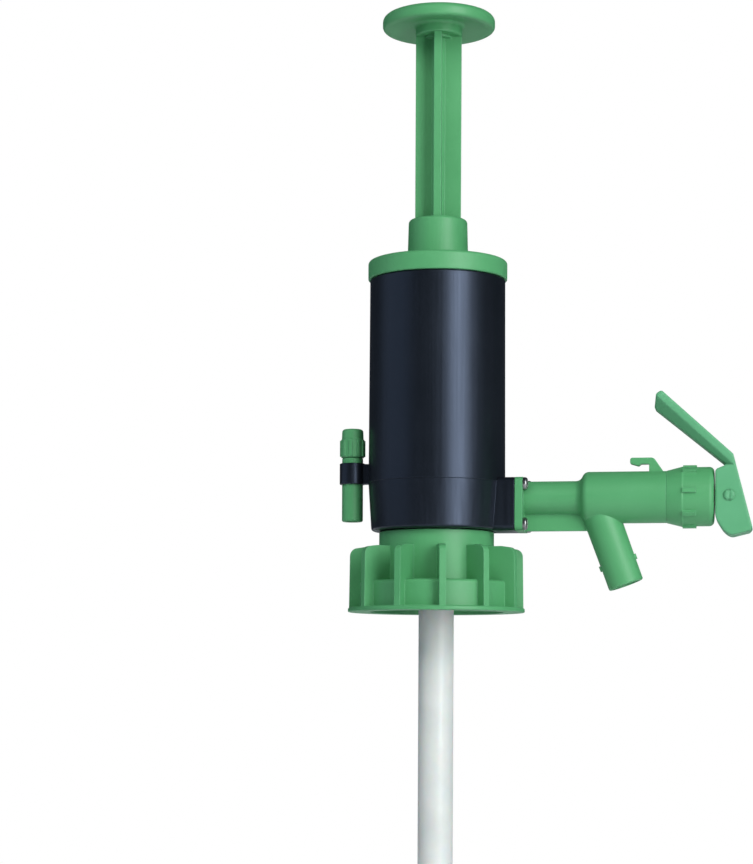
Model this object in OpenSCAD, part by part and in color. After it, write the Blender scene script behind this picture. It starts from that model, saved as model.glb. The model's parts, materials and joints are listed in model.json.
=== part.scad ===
// Hand pressure pump for liquid canisters: plunger up, outlet closed, relief valve closed.
// Origin on the pump axis, at the plane where the canister neck's rim meets the gasket.
// +Z runs up the pump, +X runs out along the outlet arm. All sizes in millimetres.

/* [Neck and union nut] */
// Outside diameter of the canister neck's thread
neck_thread_d = 60; // [58:0.5:62]
// Rise of the nut's thread per turn
thread_pitch = 4; // [3.6:0.1:4.4]
// Turns of thread inside the nut
thread_turns = 1.25; // [1:0.05:1.3]
// Height of the thread's ridge
thread_ridge = 1.2; // [0.8:0.1:1.4]
// Wall of the nut's skirt
nut_wall = 4.3; // [3.5:0.1:5.5]
// How far the nut reaches below the neck's rim
nut_drop = 8.4; // [8.2:0.1:12]
// Roof of the nut over the stub's flange
nut_roof_t = 1.5; // [1.2:0.1:2.5]
// Wall of the nut's hub over the stub
nut_hub_wall = 4.1; // [3:0.1:4.5]
// Height of the hub over the skirt
nut_hub_rise = 22.5; // [20:0.5:30]
// Number of grip ribs
nut_ribs = 12; // [8:1:16]
// Thickness of a grip rib
nut_rib_t = 3; // [2:0.1:4]
// How far the ribs stand out past the skirt
nut_rib_reach = 4.9; // [3:0.1:7]
// Height of the ribs over the skirt
nut_rib_rise = 15.5; // [8:0.5:18]
// Angle of the first rib from the outlet arm
nut_rib_phase = 12.4; // [0:0.1:30]
// Thickness of the flange round the nut's mouth
nut_lip_t = 2; // [1.5:0.1:3]

/* [Neck stub and dip tube] */
// How far the stub that the nut turns on lies inside the pump cylinder's skin
stub_inset = 9.1; // [8.6:0.1:10]
// Wall of the stub
stub_wall = 3; // [2:0.1:4]
// Thickness of the stub's flange
stub_flange_t = 1.8; // [1.5:0.1:3]
// Gap from the stub's flange and the gasket to the crest of the nut's thread
flange_gap = 1.3; // [0.8:0.1:2.5]
// Thickness of the neck gasket
gasket_t = 2; // [1.5:0.1:3]
// Wall of the canister's neck with its thread
neck_wall = 7; // [6:0.1:7.4]
// How far the spigot reaches into the neck
spigot_drop = 6; // [4:0.5:10]
// Outside diameter of the dip tube
tube_d = 16; // [14:0.5:17]
// Wall of the dip tube
tube_wall = 2; // [1.5:0.1:3]
// How far the dip tube reaches below the neck's rim
tube_reach = 300; // [150:5:600]
// Length of dip tube held in its socket
tube_grip = 16; // [12:1:22]
// Height of the notches in the dip tube's foot
tube_notch = 6; // [3:1:10]

/* [Lower housing] */
// How far the lower housing narrows from the seam to its foot
base_draft = 1.4; // [0:0.1:2]
// Wall of the lower housing at the seam
base_wall = 4.1; // [3.6:0.1:5]
// Floor of the lower housing
base_floor_t = 3; // [2:0.1:4]
// Height of the outlet's axis over the lower housing's foot
outlet_rise = 14.7; // [14:0.1:22]
// Bore of the liquid duct
duct_bore_d = 10; // [8:0.2:10.4]
// Wall of the liquid duct
duct_wall = 1.9; // [1.4:0.1:2.6]
// Distance of the outlet boss's face from the pump axis
boss_reach = 36.6; // [35.5:0.1:45]
// Width and height of the outlet boss
boss_w = 23.9; // [23.8:0.1:27]
// How far the boss's top stands over the outlet's axis
boss_rise = 8.85; // [8.6:0.05:9.4]
// Distance of the flange screws from the boss's edge
screw_edge = 2.95; // [2.9:0.05:4]

/* [Pump cylinder and cap] */
// Diameter of the pump cylinder at the seam
barrel_d = 62.2; // [56:0.1:72]
// How much narrower the cylinder is at its top
barrel_draft = 0.8; // [0:0.1:1.2]
// Wall of the pump cylinder
barrel_wall = 3.1; // [2.8:0.1:4]
// Travel of the plunger
stroke = 82; // [50:1:140]
// Thickness of the valve plate
plate_t = 4.3; // [4:0.1:6]
// How far the cap stands out past the cylinder
cap_lip = 0.5; // [0.3:0.1:3]
// Height of the cap's rim
cap_h = 8.4; // [7:0.1:12]
// Thickness of the cap's top
cap_plate_t = 2.6; // [2:0.1:4]
// Diameter of the guide collar at its foot
collar_d = 27.6; // [25.8:0.2:34]
// Height of the guide collar
collar_h = 19; // [12:0.5:26]

/* [Plunger] */
// Width of the plunger rod across its ribs
rod_w = 20.7; // [18:0.1:21.4]
// Thickness of a rod rib
rod_rib_t = 3.4; // [2.6:0.1:5]
// Turn of the rod's ribs from the outlet arm
rod_turn = 6; // [0:1:45]
// Diameter of the handle disc
handle_d = 51; // [44:0.5:70]
// Thickness of the handle disc
handle_t = 6; // [4:0.1:7]
// Diameter of the hub under the handle disc
handle_hub_d = 21.3; // [18:0.1:25]
// Height of the hub under the handle disc's rim
handle_hub_h = 3; // [2.5:0.5:8]
// Depth of the dish under the handle disc
handle_dish = 2.3; // [0.5:0.1:3]
// Thickness of the piston plate
piston_t = 3; // [2:0.1:5]
// Height of the cup seal
cup_h = 3; // [2.8:0.1:5]

/* [Outlet arm] */
// Thickness of the outlet arm's flange
flange_t = 3.5; // [3:0.1:5]
// Outside diameter of the outlet pipe
pipe_d = 15.1; // [13:0.1:17]
// Length of the outlet pipe up to the valve chamber
pipe_len = 25.1; // [18:0.1:60]
// Outside diameter of the valve chamber
chamber_d = 23.2; // [21.8:0.1:24]
// Length of the valve chamber up to its collar
chamber_len = 38.5; // [38:0.1:55]
// Bore of the valve chamber
chamber_bore_d = 16.8; // [15.6:0.1:17.2]
// Outside diameter of the spout
spout_d = 16; // [13:0.1:17]
// Wall of the spout
spout_wall = 1.8; // [1.2:0.1:2.4]
// Length of the spout from the valve's axis
spout_len = 41.9; // [35:0.1:80]
// Lean of the spout from straight down
spout_lean = 20.1; // [0:0.1:30]
// Thickness of the web under the pipe
web_t = 3; // [2:0.1:5]
// Width of the lever's rest hook
hook_w = 5; // [3:0.1:9]

/* [Outlet valve] */
// Diameter of the valve stem
stem_d = 6; // [5:0.1:6.6]
// Length of the valve collar
vcollar_len = 21; // [20.6:0.1:24]
// Outside diameter of the valve collar
vcollar_d = 26.4; // [26:0.1:30]
// Number of grip lugs on the valve collar
vcollar_lugs = 8; // [6:1:12]
// Width of the lever
lever_w = 18; // [14:0.2:24]
// Diameter of the lever's pin
pin_d = 4; // [3:0.1:5]
// How far the lever swings when it is pressed, in degrees
lever_swing = 24; // [10:1:26]
// How far the lever pulls the stem out over its swing
lever_pull = 3.94; // [2:0.01:4.2]

/* [Relief valve] */
// Gap from the cylinder's wall to the relief valve's axis
relief_gap = 7.9; // [7.6:0.1:12]
// Outside diameter of the relief valve's body
relief_d = 9.6; // [9.2:0.1:10.6]
// Height of the ring that holds the relief valve
ring_h = 9.6; // [8:0.1:12]
// Wall of the ring that holds the relief valve
ring_wall = 1.05; // [0.9:0.05:2]
// Length of the relief valve's outlet under its ring
relief_drop = 17; // [12:0.5:24]
// Height of the relief knob
knob_h = 13.1; // [12.6:0.1:16]
// Number of grip flutes on the relief knob
knob_flutes = 10; // [8:1:12]

/* [Fits] */
// Radial clearance of a running fit
run_fit = 0.06; // [0.03:0.01:0.1]
// Radial clearance between parts that do not move
set_fit = 0.05; // [0.02:0.01:0.1]
// Gap between faces of parts that move past each other
part_gap = 0.4; // [0.3:0.05:0.6]

/* [Hidden] */
$fn = 96;
arc_steps = 6;
cut = 1;

green = [0.35, 0.66, 0.45];
black = [0.10, 0.11, 0.13];
rubber = [0.05, 0.05, 0.05];
steel = [0.72, 0.73, 0.75];
natural = [0.86, 0.87, 0.84];

// Neck and nut
flange_play = 0.2;
nut_root_r = neck_thread_d / 2 + 0.5;
nut_crest_r = nut_root_r - thread_ridge;
stub_flange_d = 2 * (nut_crest_r - flange_gap);
spigot_d = neck_thread_d - 2 * neck_wall;
stub_d = barrel_d - 2 * stub_inset;
nut_hub_d = stub_d + 2 * nut_hub_wall;
nut_r = nut_root_r + nut_wall;
nut_rib_r = nut_r + nut_rib_reach;
nut_lip_r = nut_rib_r + 0.5;
nut_z0 = -nut_drop;
flange_z1 = gasket_t + stub_flange_t;
roof_z0 = flange_z1 + flange_play;
skirt_z1 = roof_z0 + nut_roof_t;
hub_z1 = skirt_z1 + nut_hub_rise;
rib_z1 = skirt_z1 + nut_rib_rise;
nut_edge_r = 1.5;
nut_hub_r = nut_hub_d / 2;
rib_embed = 1.5;
rib_draft = 0.4;
rib_flat = 1.8;
rib_slope = 1;
rib_corner_r = 3.4;
thread_flank = 1.4;
thread_tip = 0.4;
thread_embed = 0.9;
thread_rings = 32;
thread_lead_z = nut_z0 + thread_flank + 0.3;

// Lower housing
base_z0 = hub_z1 + part_gap;
out_z = base_z0 + outlet_rise;
seam_r = barrel_d / 2;
foot_r = seam_r - base_draft;
foot_round = 1.4;
cavity_r = seam_r - base_wall;
floor_z1 = base_z0 + base_floor_t;
duct_r = duct_bore_d / 2 + duct_wall;
duct_clear = 0.2;
seam_z = out_z + duct_r + duct_clear;
stub_r = stub_d / 2;
stub_bore_r = stub_r - stub_wall;
stub_z1 = out_z - duct_r - duct_clear;
socket_wall = 2.9;
tube_r = tube_d / 2;
tube_bore_r = tube_r - tube_wall;
tower_wall = 2.55;
tower_r = tube_r + set_fit + tower_wall;
tube_z1 = stub_z1 + duct_clear;
tower_z0 = tube_z1 - tube_grip;
seal_wire_r = 0.6;
seal_groove = 1.6;
tube_seal_z = tower_z0 + 3.5;
boss_drop = boss_w / 2 - boss_rise;
boss_z = out_z - boss_drop;
boss_round = 2.4;
boss_core_r = cavity_r;
boss_clear = 0.15;
screw_pitch = boss_w - 2 * screw_edge;
screw_d = 3;
screw_depth = 7;

// Valve plate and check valve
bore_r = barrel_d / 2 - barrel_wall;
deck_z = seam_z + plate_t;
plate_r = bore_r - 0.1;
plate_seal_z = deck_z - 1.3;
check_disc_r = 4.92;
check_wall = 0.8;
check_bore_r = check_disc_r + 0.08;
check_r = check_bore_r + check_wall;
check_x = -(tower_r + check_r + 0.7);
check_recess = 1.5;
check_seat_z = seam_z + check_recess;
check_cage_h = 10.2;
check_z0 = check_seat_z - check_cage_h;
check_floor_t = 1.5;
check_disc_t = 1.6;
check_gap = 0.3;
check_port_r = 3;
check_disc_z0 = check_seat_z - check_gap - check_disc_t;
check_window_w = 2.4;
check_window_h = 4.6;
check_wire_r = 0.3;
check_coil_r = 3.2;
check_turns = 3;
vent_r = 0.6;
vent_floor = 0.6;
vent_z = seam_z + vent_floor + vent_r;
vent_notch_w = 3;

// Cylinder, cap and plunger stack
floor_clear = 1.3;
head_clear = 1.5;
rod_flange_t = 3;
piston_z0 = deck_z + floor_clear + stroke;
cup_z1 = piston_z0 + cup_h;
plate_z1 = cup_z1 + piston_t;
rod_z0 = plate_z1;
rod_flange_z1 = rod_z0 + rod_flange_t;
cap_z0 = rod_flange_z1 + head_clear;
cap_z1 = cap_z0 + cap_plate_t;
cap_foot_z = cap_z1 - cap_h;
cap_r = seam_r + cap_lip;
shoulder_z = cap_foot_z - 0.3;
neck_r = bore_r + 1.7;
top_r = seam_r - barrel_draft / 2;
collar_z1 = cap_z1 + collar_h;
collar_r = collar_d / 2;
collar_draft = 0.5;
guide_gap = 0.35;
handle_z0 = collar_z1 + stroke + 1.4;
disc_z0 = handle_z0 + handle_hub_h;
disc_z1 = disc_z0 + handle_t;
handle_r = handle_d / 2;
handle_round = 2.6;
handle_low_round = 1.6;
handle_rim = 3.2;
handle_fillet = 1.5;
handle_edge = 0.8;
rod_core_r = 3.4;
rod_tenon_r = 6;
rod_tenon_h = handle_hub_h + handle_t - 2.5;
rod_foot_r = 5;
rod_flange_r = 13;
piston_r = bore_r - 0.6;
cup_r = bore_r - 0.1;
cup_base_t = 1.6;
cup_lip_t = 1.4;
cup_screw_r = 8;
cup_screw_t = 1.1;
cup_screw_core_r = 2.5;
cup_screw_len = 12;

// Outlet arm along +X
face_gap = 0.3;
flange_x0 = boss_reach + face_gap;
flange_x1 = flange_x0 + flange_t;
flange_w = boss_w + 0.1;
pipe_r = pipe_d / 2;
pipe_x1 = flange_x1 + pipe_len;
chamber_r = chamber_d / 2;
chamber_bore_r = chamber_bore_d / 2;
step_run = 1.8;
step_fillet = 3.3;
step_round = 3.1;
seat_set = 1.4;
seat_x = pipe_x1 + seat_set;
collar_x0 = pipe_x1 + chamber_len;
spigot_r = chamber_r - 1.6;
spigot_len = 6;
spigot_x1 = collar_x0 + spigot_len;
pipe_bore_r = duct_bore_d / 2 + 0.2;
spout_r = spout_d / 2;
spout_bore_r = spout_r - spout_wall;
spout_set = 6.2;
spout_x = pipe_x1 + spout_set;
spout_draft = 0.3;
spout_edge = 0.8;
hose_len = 10.7;
ear_at = spout_len - hose_len;
ear_r = 1.3;
ear_h = 0.7;
ear_clear = 0.2;
web_rise = 0.2;
web_z0 = boss_z - flange_w / 2 + web_rise;
web_x1 = spout_x + 1.5;
gasket_rim = 0.7;
screw_dist = norm([screw_pitch / 2, screw_pitch / 2 - boss_drop]);
gasket_r1 = min(flange_w / 2 - boss_drop, screw_dist - screw_d / 2) - gasket_rim;
gasket_recess = 1;
screw_head_r = 2.85;
screw_head_h = 2.1;
screw_reach = 6.2;
screw_slot_w = 0.9;
screw_slot_t = 1;
hook_top = chamber_r + 5.95;
hook_under = hook_top - 2.75;
hook_tip_x = collar_x0 - 16.3;
hook_barb_x = collar_x0 - 12.6;
hook_leg_x = collar_x0 - 7.85;
hook_head_x = collar_x0 - 5.8;
hook_foot_x = collar_x0 - 1.7;
hook_barb = 0.9;
hook_round = 2.4;

// Outlet valve along +X
stem_r = stem_d / 2;
bonnet_t = 2;
bonnet_x1 = spigot_x1 + bonnet_t;
vcollar_x1 = collar_x0 + vcollar_len;
vcollar_r = vcollar_d / 2;
vcollar_wall = 3.2;
vcollar_cone = 7.1;
vcollar_lug_len = 6.1;
vcollar_lug_w = 2.1;
vcollar_lug_h = 1;
vcollar_round = 2.2;
vcollar_end_x = vcollar_x1 - vcollar_wall;
vcollar_lug_phase = 37;
spring_bore_r = 6.6;
stem_hole_r = stem_r + 0.35;
plug_gap = 0.3;
plug_x0 = seat_x + plug_gap;
plug_len = 4;
plug_r = 7.2;
plug_socket = 2.2;
clip_x0 = bonnet_x1 + 1;
clip_t = 1.4;
clip_x1 = clip_x0 + clip_t;
clip_r = 5.6;
spring_wire_r = 0.4;
spring_coil_r = 4.6;
spring_turns = 2.5;
o_wire_r = 0.65;
bonnet_seal_x = collar_x0 + 2;
stem_seal_x = collar_x0 + 4.6;
lever_gap = 0.5;
lever_heel = 6.2;
pivot_x = vcollar_x1 + lever_gap + lever_heel;
tongue_t = 6;
tongue_r = 4.2;
pin_r = pin_d / 2;
pin_head_r = pin_r + 0.55;
pin_head_t = 0.5;
lever_slot_w = tongue_t + 0.8;
lever_slot_r = tongue_r + 0.5;
heel_top = 11.4;
heel_round = 2;
arm_root = [-1.1, 13.4];
arm_belly = [-33.2, 39.2];
arm_end = [-32.3, 45.2];
arm_top = [-30, 46.85];
lever_bend = [1.7, 18.1];
lever_clear = 0.5;
lever_back = [10.2, -14.4];
lever_foot = [0.8, -17.9];
lever_foot_back = [9, -15.9];
lever_heel_low = -9.8;
lever_heel_round = 8;
lever_toe = [-2.4, -15.9];
lever_toe_round = 9;
lever_foot_round = 3.5;
arm_tip_round = 1.4;
arm_side_t = 3.2;
arm_deep = 8.5;
arm_keel_w = 7;
arm_flare_w = lever_w + 1;
arm_flare_t = arm_deep - (arm_deep - arm_side_t) * (arm_flare_w - arm_keel_w) / (lever_w - arm_keel_w);

// Relief valve
relief_x = -(seam_r + relief_gap);
relief_r = relief_d / 2;
ring_r = relief_r + set_fit + ring_wall;
ring_drop = 0.1;
ring_z0 = seam_z - ring_drop;
ring_z1 = ring_z0 + ring_h;
ring_arm_w = 5;
relief_z0 = ring_z0 - relief_drop;
relief_neck_z = ring_z1 + 2.4;
relief_spigot_r = 3.9;
relief_spigot_h = 5.4;
relief_top_z = relief_neck_z + relief_spigot_h;
relief_bore_r = 2.9;
relief_out_r = 3.2;
relief_port_r = 1.3;
relief_seat_z = vent_z - vent_r - 2.3;
relief_seat_t = 1.6;
relief_seal_r = 2.4;
relief_seal_t = 1.5;
relief_guide_z = vent_z + 4;
relief_guide_h = 4;
relief_rod_r = 1.5;
knob_z0 = relief_neck_z + 0.25;
knob_z1 = knob_z0 + knob_h;
knob_flute_h = 8.4;
knob_core_r = 5.35;
knob_flute_w = 1.5;
knob_flute_out = 0.45;
knob_flute_inset = 0.6;
knob_top_r = 5;
knob_roof = 5.6;
knob_pin_h = 3.6;
relief_wire_r = 0.3;
relief_coil_r = 2.3;
relief_turns = 4;

// Rounded outline from corners [x, y, radius]
function unit(v) = v / norm(v);
function xy(p) = [p[0], p[1]];
function rounded(c) = [
  for (i = [0 : len(c) - 1])
    each corner(xy(c[(i + len(c) - 1) % len(c)]), c[i], xy(c[(i + 1) % len(c)]))
];
function corner(a, b, c) =
  b[2] == 0 ? [xy(b)] :
  let (
    u = unit(a - xy(b)),
    v = unit(c - xy(b)),
    half = acos(u * v) / 2,
    mid = xy(b) + unit(u + v) * b[2] / sin(half),
    p = xy(b) + u * b[2] / tan(half) - mid,
    q = xy(b) + v * b[2] / tan(half) - mid,
    start = atan2(p[1], p[0]),
    turn = (atan2(q[1], q[0]) - start + 900) % 360 - 180
  )
  [
    for (k = [0 : arc_steps])
      mid + b[2] * [cos(start + turn * k / arc_steps), sin(start + turn * k / arc_steps)]
  ];

// Closed tube through rings of equal point counts
function tube_faces(n, m) = concat(
  [[for (j = [0 : m - 1]) j]],
  [
    for (i = [0 : n - 2], j = [0 : m - 1])
      each [
        [i * m + j, (i + 1) * m + j, (i + 1) * m + (j + 1) % m],
        [i * m + j, (i + 1) * m + (j + 1) % m, i * m + (j + 1) % m]
      ]
  ],
  [[for (j = [m - 1 : -1 : 0]) (n - 1) * m + j]]
);

coil_rings = 8;
coil_sides = 6;

function coil_points(coil_r, wire_r, length, turns) = [
  for (i = [0 : turns * coil_rings], j = [0 : coil_sides - 1])
    let (
      a = i * 360 / coil_rings,
      b = j * 360 / coil_sides,
      r = coil_r + wire_r * sin(b),
      z = wire_r + (length - 2 * wire_r) * i / (turns * coil_rings) + wire_r * cos(b)
    )
    [r * cos(a), r * sin(a), z]
];

module coil(coil_r, wire_r, length, turns) {
  echo(coil_gap = (length - 2 * wire_r) / turns - 2 * wire_r);
  polyhedron(
    coil_points(coil_r, wire_r, length, turns),
    tube_faces(turns * coil_rings + 1, coil_sides)
  );
}

module along_x(x) {
  translate([x, 0, out_z]) rotate([0, 90, 0]) children();
}

module lathe_x() {
  along_x(0) rotate_extrude() children();
}

module side_plate(w) {
  rotate([90, 0, 0]) linear_extrude(w, center = true) children();
}

module o_ring(r, wire_r) {
  rotate_extrude() translate([r, 0]) circle(wire_r);
}

module ring(r0, r1, h) {
  difference() {
    cylinder(r = r1, h = h);
    translate([0, 0, -cut]) cylinder(r = r0, h = h + 2 * cut);
  }
}

module rounded_square(w, r) {
  polygon(rounded([[-w / 2, -w / 2, r], [w / 2, -w / 2, r], [w / 2, w / 2, r], [-w / 2, w / 2, r]]));
}

module screw_places() {
  for (y = [-1, 1], z = [-1, 1])
    translate([0, y * screw_pitch / 2, boss_z + z * screw_pitch / 2]) rotate([0, 90, 0]) children();
}

// Union nut
module nut_thread() {
  n = floor(thread_turns * thread_rings) + 1;
  section = [
    [nut_root_r + thread_embed, thread_flank],
    [nut_root_r + thread_embed, -thread_flank],
    [nut_crest_r, -thread_tip],
    [nut_crest_r, thread_tip]
  ];
  points = [
    for (i = [0 : n - 1], s = section)
      let (a = i * 360 / thread_rings)
      [s[0] * cos(a), s[0] * sin(a), thread_lead_z + thread_pitch * i / thread_rings + s[1]]
  ];
  polyhedron(points, tube_faces(n, len(section)));
}

module nut_rib() {
  rotate([90, 0, 0])
    linear_extrude(nut_rib_t, center = true)
      polygon(rounded([
        [nut_r - rib_embed, nut_z0 + nut_lip_t / 2, 0],
        [nut_r - rib_embed, skirt_z1 - nut_roof_t / 2, 0],
        [nut_hub_r - rib_embed, skirt_z1 - nut_roof_t / 2, 0],
        [nut_hub_r - rib_embed, rib_z1, 0],
        [nut_r - rib_flat, rib_z1, 0],
        [nut_rib_r - rib_draft, rib_z1 - rib_slope, rib_corner_r],
        [nut_rib_r, nut_z0 + nut_lip_t / 2, 0]
      ]));
}

module nut_outside() {
  rotate_extrude()
    polygon(rounded([
      [0, nut_z0, 0],
      [nut_lip_r, nut_z0, 0.4],
      [nut_lip_r, nut_z0 + nut_lip_t, 0.8],
      [nut_r, nut_z0 + nut_lip_t, 0.5],
      [nut_r, skirt_z1, nut_edge_r],
      [nut_hub_r, skirt_z1, 0.6],
      [nut_hub_r, hub_z1, 0.5],
      [0, hub_z1, 0]
    ]));
  for (i = [0 : nut_ribs - 1])
    rotate([0, 0, nut_rib_phase + i * 360 / nut_ribs]) nut_rib();
}

module union_nut() {
  color(green) {
    difference() {
      nut_outside();
      translate([0, 0, nut_z0 - cut]) cylinder(r = nut_root_r, h = roof_z0 - nut_z0 + cut);
      cylinder(r = stub_r + run_fit, h = hub_z1 + cut);
    }
    nut_thread();
  }
}

// Neck stub, gasket and dip tube
module neck_stub() {
  color(black)
    rotate_extrude()
      polygon(rounded([
        [stub_bore_r, -spigot_drop, 0.4],
        [spigot_d / 2, -spigot_drop, 0.8],
        [spigot_d / 2, gasket_t, 0],
        [stub_flange_d / 2, gasket_t, 0],
        [stub_flange_d / 2, flange_z1, 0.3],
        [stub_r, flange_z1, 0],
        [stub_r, stub_z1, 0.4],
        [stub_bore_r, stub_z1, 0.4]
      ]));
}

module neck_gasket() {
  color(rubber) ring(spigot_d / 2 + set_fit, stub_flange_d / 2, gasket_t);
}

module dip_tube() {
  color(natural)
    difference() {
      translate([0, 0, -tube_reach]) ring(tube_bore_r, tube_r, tube_reach + tube_z1);
      for (a = [0, 90])
        translate([0, 0, -tube_reach])
          rotate([0, 0, a])
            rotate([90, 0, 0])
              linear_extrude(2 * tube_r + 2 * cut, center = true)
                polygon([[-tube_notch, -cut], [tube_notch, -cut], [0, tube_notch]]);
    }
}

module dip_tube_seal() {
  color(rubber) translate([0, 0, tube_seal_z]) o_ring(tube_r + seal_wire_r + set_fit, seal_wire_r);
}

// Lower housing with the liquid duct
module lower_shell() {
  rotate_extrude()
    polygon(rounded([
      [stub_r + set_fit, base_z0, 0],
      [foot_r, base_z0, foot_round],
      [seam_r, seam_z, 0.15],
      [cavity_r, seam_z, 0],
      [cavity_r, floor_z1, 0.8],
      [stub_r + set_fit + socket_wall, floor_z1, 0],
      [stub_r + set_fit + socket_wall, stub_z1, 0],
      [stub_r + set_fit, stub_z1, 0]
    ]));
}

module outlet_boss() {
  difference() {
    translate([0, 0, boss_z])
      rotate([90, 0, 90])
        linear_extrude(boss_reach)
          rounded_square(boss_w, boss_round);
    translate([0, 0, boss_z - boss_w]) cylinder(r = boss_core_r, h = 2 * boss_w);
    translate([0, 0, seam_z]) cylinder(r = seam_r + boss_clear, h = boss_w);
    translate([-barrel_d, -boss_w, boss_z - boss_w]) cube([barrel_d, 2 * boss_w, 2 * boss_w]);
  }
}

module lower_housing() {
  color(black)
    difference() {
      union() {
        lower_shell();
        outlet_boss();
        along_x(0) cylinder(r = duct_r, h = seam_r - cut);
        translate([0, 0, tower_z0]) cylinder(r = tower_r, h = out_z - tower_z0);
      }
      along_x(0) cylinder(r = duct_bore_d / 2, h = boss_reach + cut);
      translate([0, 0, tower_z0 - cut]) cylinder(r = tube_bore_r, h = out_z - tower_z0 + cut);
      translate([0, 0, tower_z0 - cut]) cylinder(r = tube_r + set_fit, h = tube_grip + cut);
      translate([0, 0, tube_seal_z - seal_groove / 2])
        cylinder(r = tube_r + 2 * seal_wire_r + 2 * set_fit, h = seal_groove);
      translate([boss_reach - screw_depth, 0, 0])
        screw_places()
          cylinder(r = screw_d / 2 + set_fit, h = screw_depth + cut);
    }
}

// Valve plate with its check valve
module valve_plate() {
  color(black)
    difference() {
      translate([0, 0, seam_z]) cylinder(r = plate_r, h = plate_t);
      translate([0, 0, plate_seal_z])
        rotate_extrude()
          translate([plate_r - 2 * o_wire_r - set_fit, -seal_groove / 2])
            square([2 * o_wire_r + cut, seal_groove]);
      translate([check_x, 0, seam_z - cut]) cylinder(r = check_r + set_fit, h = check_recess + cut);
      translate([check_x, 0, seam_z]) cylinder(r = check_port_r, h = plate_t + cut);
      translate([-bore_r - cut, -vent_notch_w / 2, seam_z - cut])
        cube([bore_r - cavity_r + 3 * cut, vent_notch_w, vent_z + vent_r - seam_z + cut]);
    }
}

module plate_o_ring() {
  color(rubber) translate([0, 0, plate_seal_z]) o_ring(plate_r - o_wire_r, o_wire_r);
}

module check_cage() {
  color(natural)
    difference() {
      translate([check_x, 0, check_z0]) cylinder(r = check_r, h = check_cage_h);
      translate([check_x, 0, check_z0 + check_floor_t]) cylinder(r = check_bore_r, h = check_cage_h);
      translate([check_x, 0, check_z0 - cut]) cylinder(r = check_port_r / 2, h = check_cage_h);
      for (a = [45, 135])
        translate([check_x, 0, check_z0 + check_floor_t + cut])
          rotate([0, 0, a])
            translate([-2 * check_r, -check_window_w / 2, 0])
              cube([4 * check_r, check_window_w, check_window_h]);
    }
}

module check_disc() {
  color(rubber)
    translate([check_x, 0, check_disc_z0]) cylinder(r = check_disc_r, h = check_disc_t);
}

module check_spring() {
  color(steel)
    translate([check_x, 0, check_z0 + check_floor_t])
      coil(check_coil_r, check_wire_r, check_disc_z0 - check_z0 - check_floor_t, check_turns);
}

// Pump cylinder with the arm and ring for the relief valve
module cylinder_wall() {
  rotate_extrude()
    polygon(rounded([
      [bore_r, seam_z, 0],
      [seam_r, seam_z, 0.15],
      [top_r, shoulder_z, 0.5],
      [neck_r, shoulder_z, 0],
      [neck_r, cap_z0, 0],
      [bore_r, cap_z0, 0]
    ]));
}

module relief_arm() {
  difference() {
    translate([relief_x, -ring_arm_w / 2, seam_z])
      cube([relief_gap + cut, ring_arm_w, ring_z1 - seam_z - 0.4]);
    translate([0, 0, seam_z - cut]) cylinder(r = bore_r, h = 2 * ring_h);
  }
  translate([relief_x, 0, ring_z0])
    rotate_extrude()
      polygon(rounded([[0, 0, 0], [ring_r, 0, 0.4], [ring_r, ring_h, 0.4], [0, ring_h, 0]]));
}

module pump_cylinder() {
  color(black)
    difference() {
      union() {
        cylinder_wall();
        relief_arm();
      }
      translate([relief_x, 0, ring_z0 - cut])
        cylinder(r = relief_r + set_fit, h = ring_h + 2 * cut);
      translate([relief_x, 0, vent_z])
        rotate([0, 90, 0])
          cylinder(r = vent_r, h = seam_r + relief_gap - bore_r + cut);
    }
}

// Cap with its guide collar
module rod_cross(extra, h) {
  for (a = [0, 90])
    rotate([0, 0, rod_turn + a])
      translate([-rod_w / 2 - extra, -rod_rib_t / 2 - extra, 0])
        cube([rod_w + 2 * extra, rod_rib_t + 2 * extra, h]);
  cylinder(r = rod_core_r + extra, h = h);
}

module cylinder_cap() {
  color(green)
    difference() {
      rotate_extrude()
        polygon(rounded([
          [0, cap_z0, 0],
          [neck_r + set_fit, cap_z0, 0],
          [neck_r + set_fit, cap_foot_z, 0.3],
          [cap_r, cap_foot_z, 0.5],
          [cap_r, cap_z1, 1.5],
          [collar_r, cap_z1, 0.8],
          [collar_r - collar_draft, collar_z1, 1.6],
          [0, collar_z1, 0]
        ]));
      translate([0, 0, cap_z0 - cut]) rod_cross(guide_gap, collar_z1 - cap_z0 + 2 * cut);
    }
}

// Plunger
module plunger_handle() {
  color(green)
    difference() {
      rotate_extrude()
        polygon(rounded([
          [0, handle_z0, 0],
          [handle_hub_d / 2, handle_z0, handle_edge],
          [handle_hub_d / 2, disc_z0 + handle_dish, handle_fillet],
          [handle_r - handle_rim, disc_z0, 2],
          [handle_r, disc_z0, handle_low_round],
          [handle_r, disc_z1, handle_round],
          [0, disc_z1, 0]
        ]));
      translate([0, 0, handle_z0 - cut]) cylinder(r = rod_tenon_r + set_fit, h = rod_tenon_h + cut);
    }
}

module plunger_rod() {
  color(green)
    difference() {
      union() {
        translate([0, 0, rod_flange_z1 - cut]) rod_cross(0, handle_z0 - rod_flange_z1 + cut);
        translate([0, 0, rod_z0]) cylinder(r = rod_flange_r, h = rod_flange_t);
        translate([0, 0, rod_z0 - piston_t]) cylinder(r = rod_foot_r, h = piston_t + cut);
        translate([0, 0, handle_z0 - cut]) cylinder(r = rod_tenon_r, h = rod_tenon_h + cut);
      }
      translate([0, 0, rod_z0 - piston_t - cut])
        cylinder(r = cup_screw_core_r + set_fit, h = cup_screw_len + cut);
    }
}

module piston_plate() {
  color(natural)
    translate([0, 0, cup_z1]) ring(rod_foot_r + set_fit, piston_r, piston_t);
}

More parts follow.
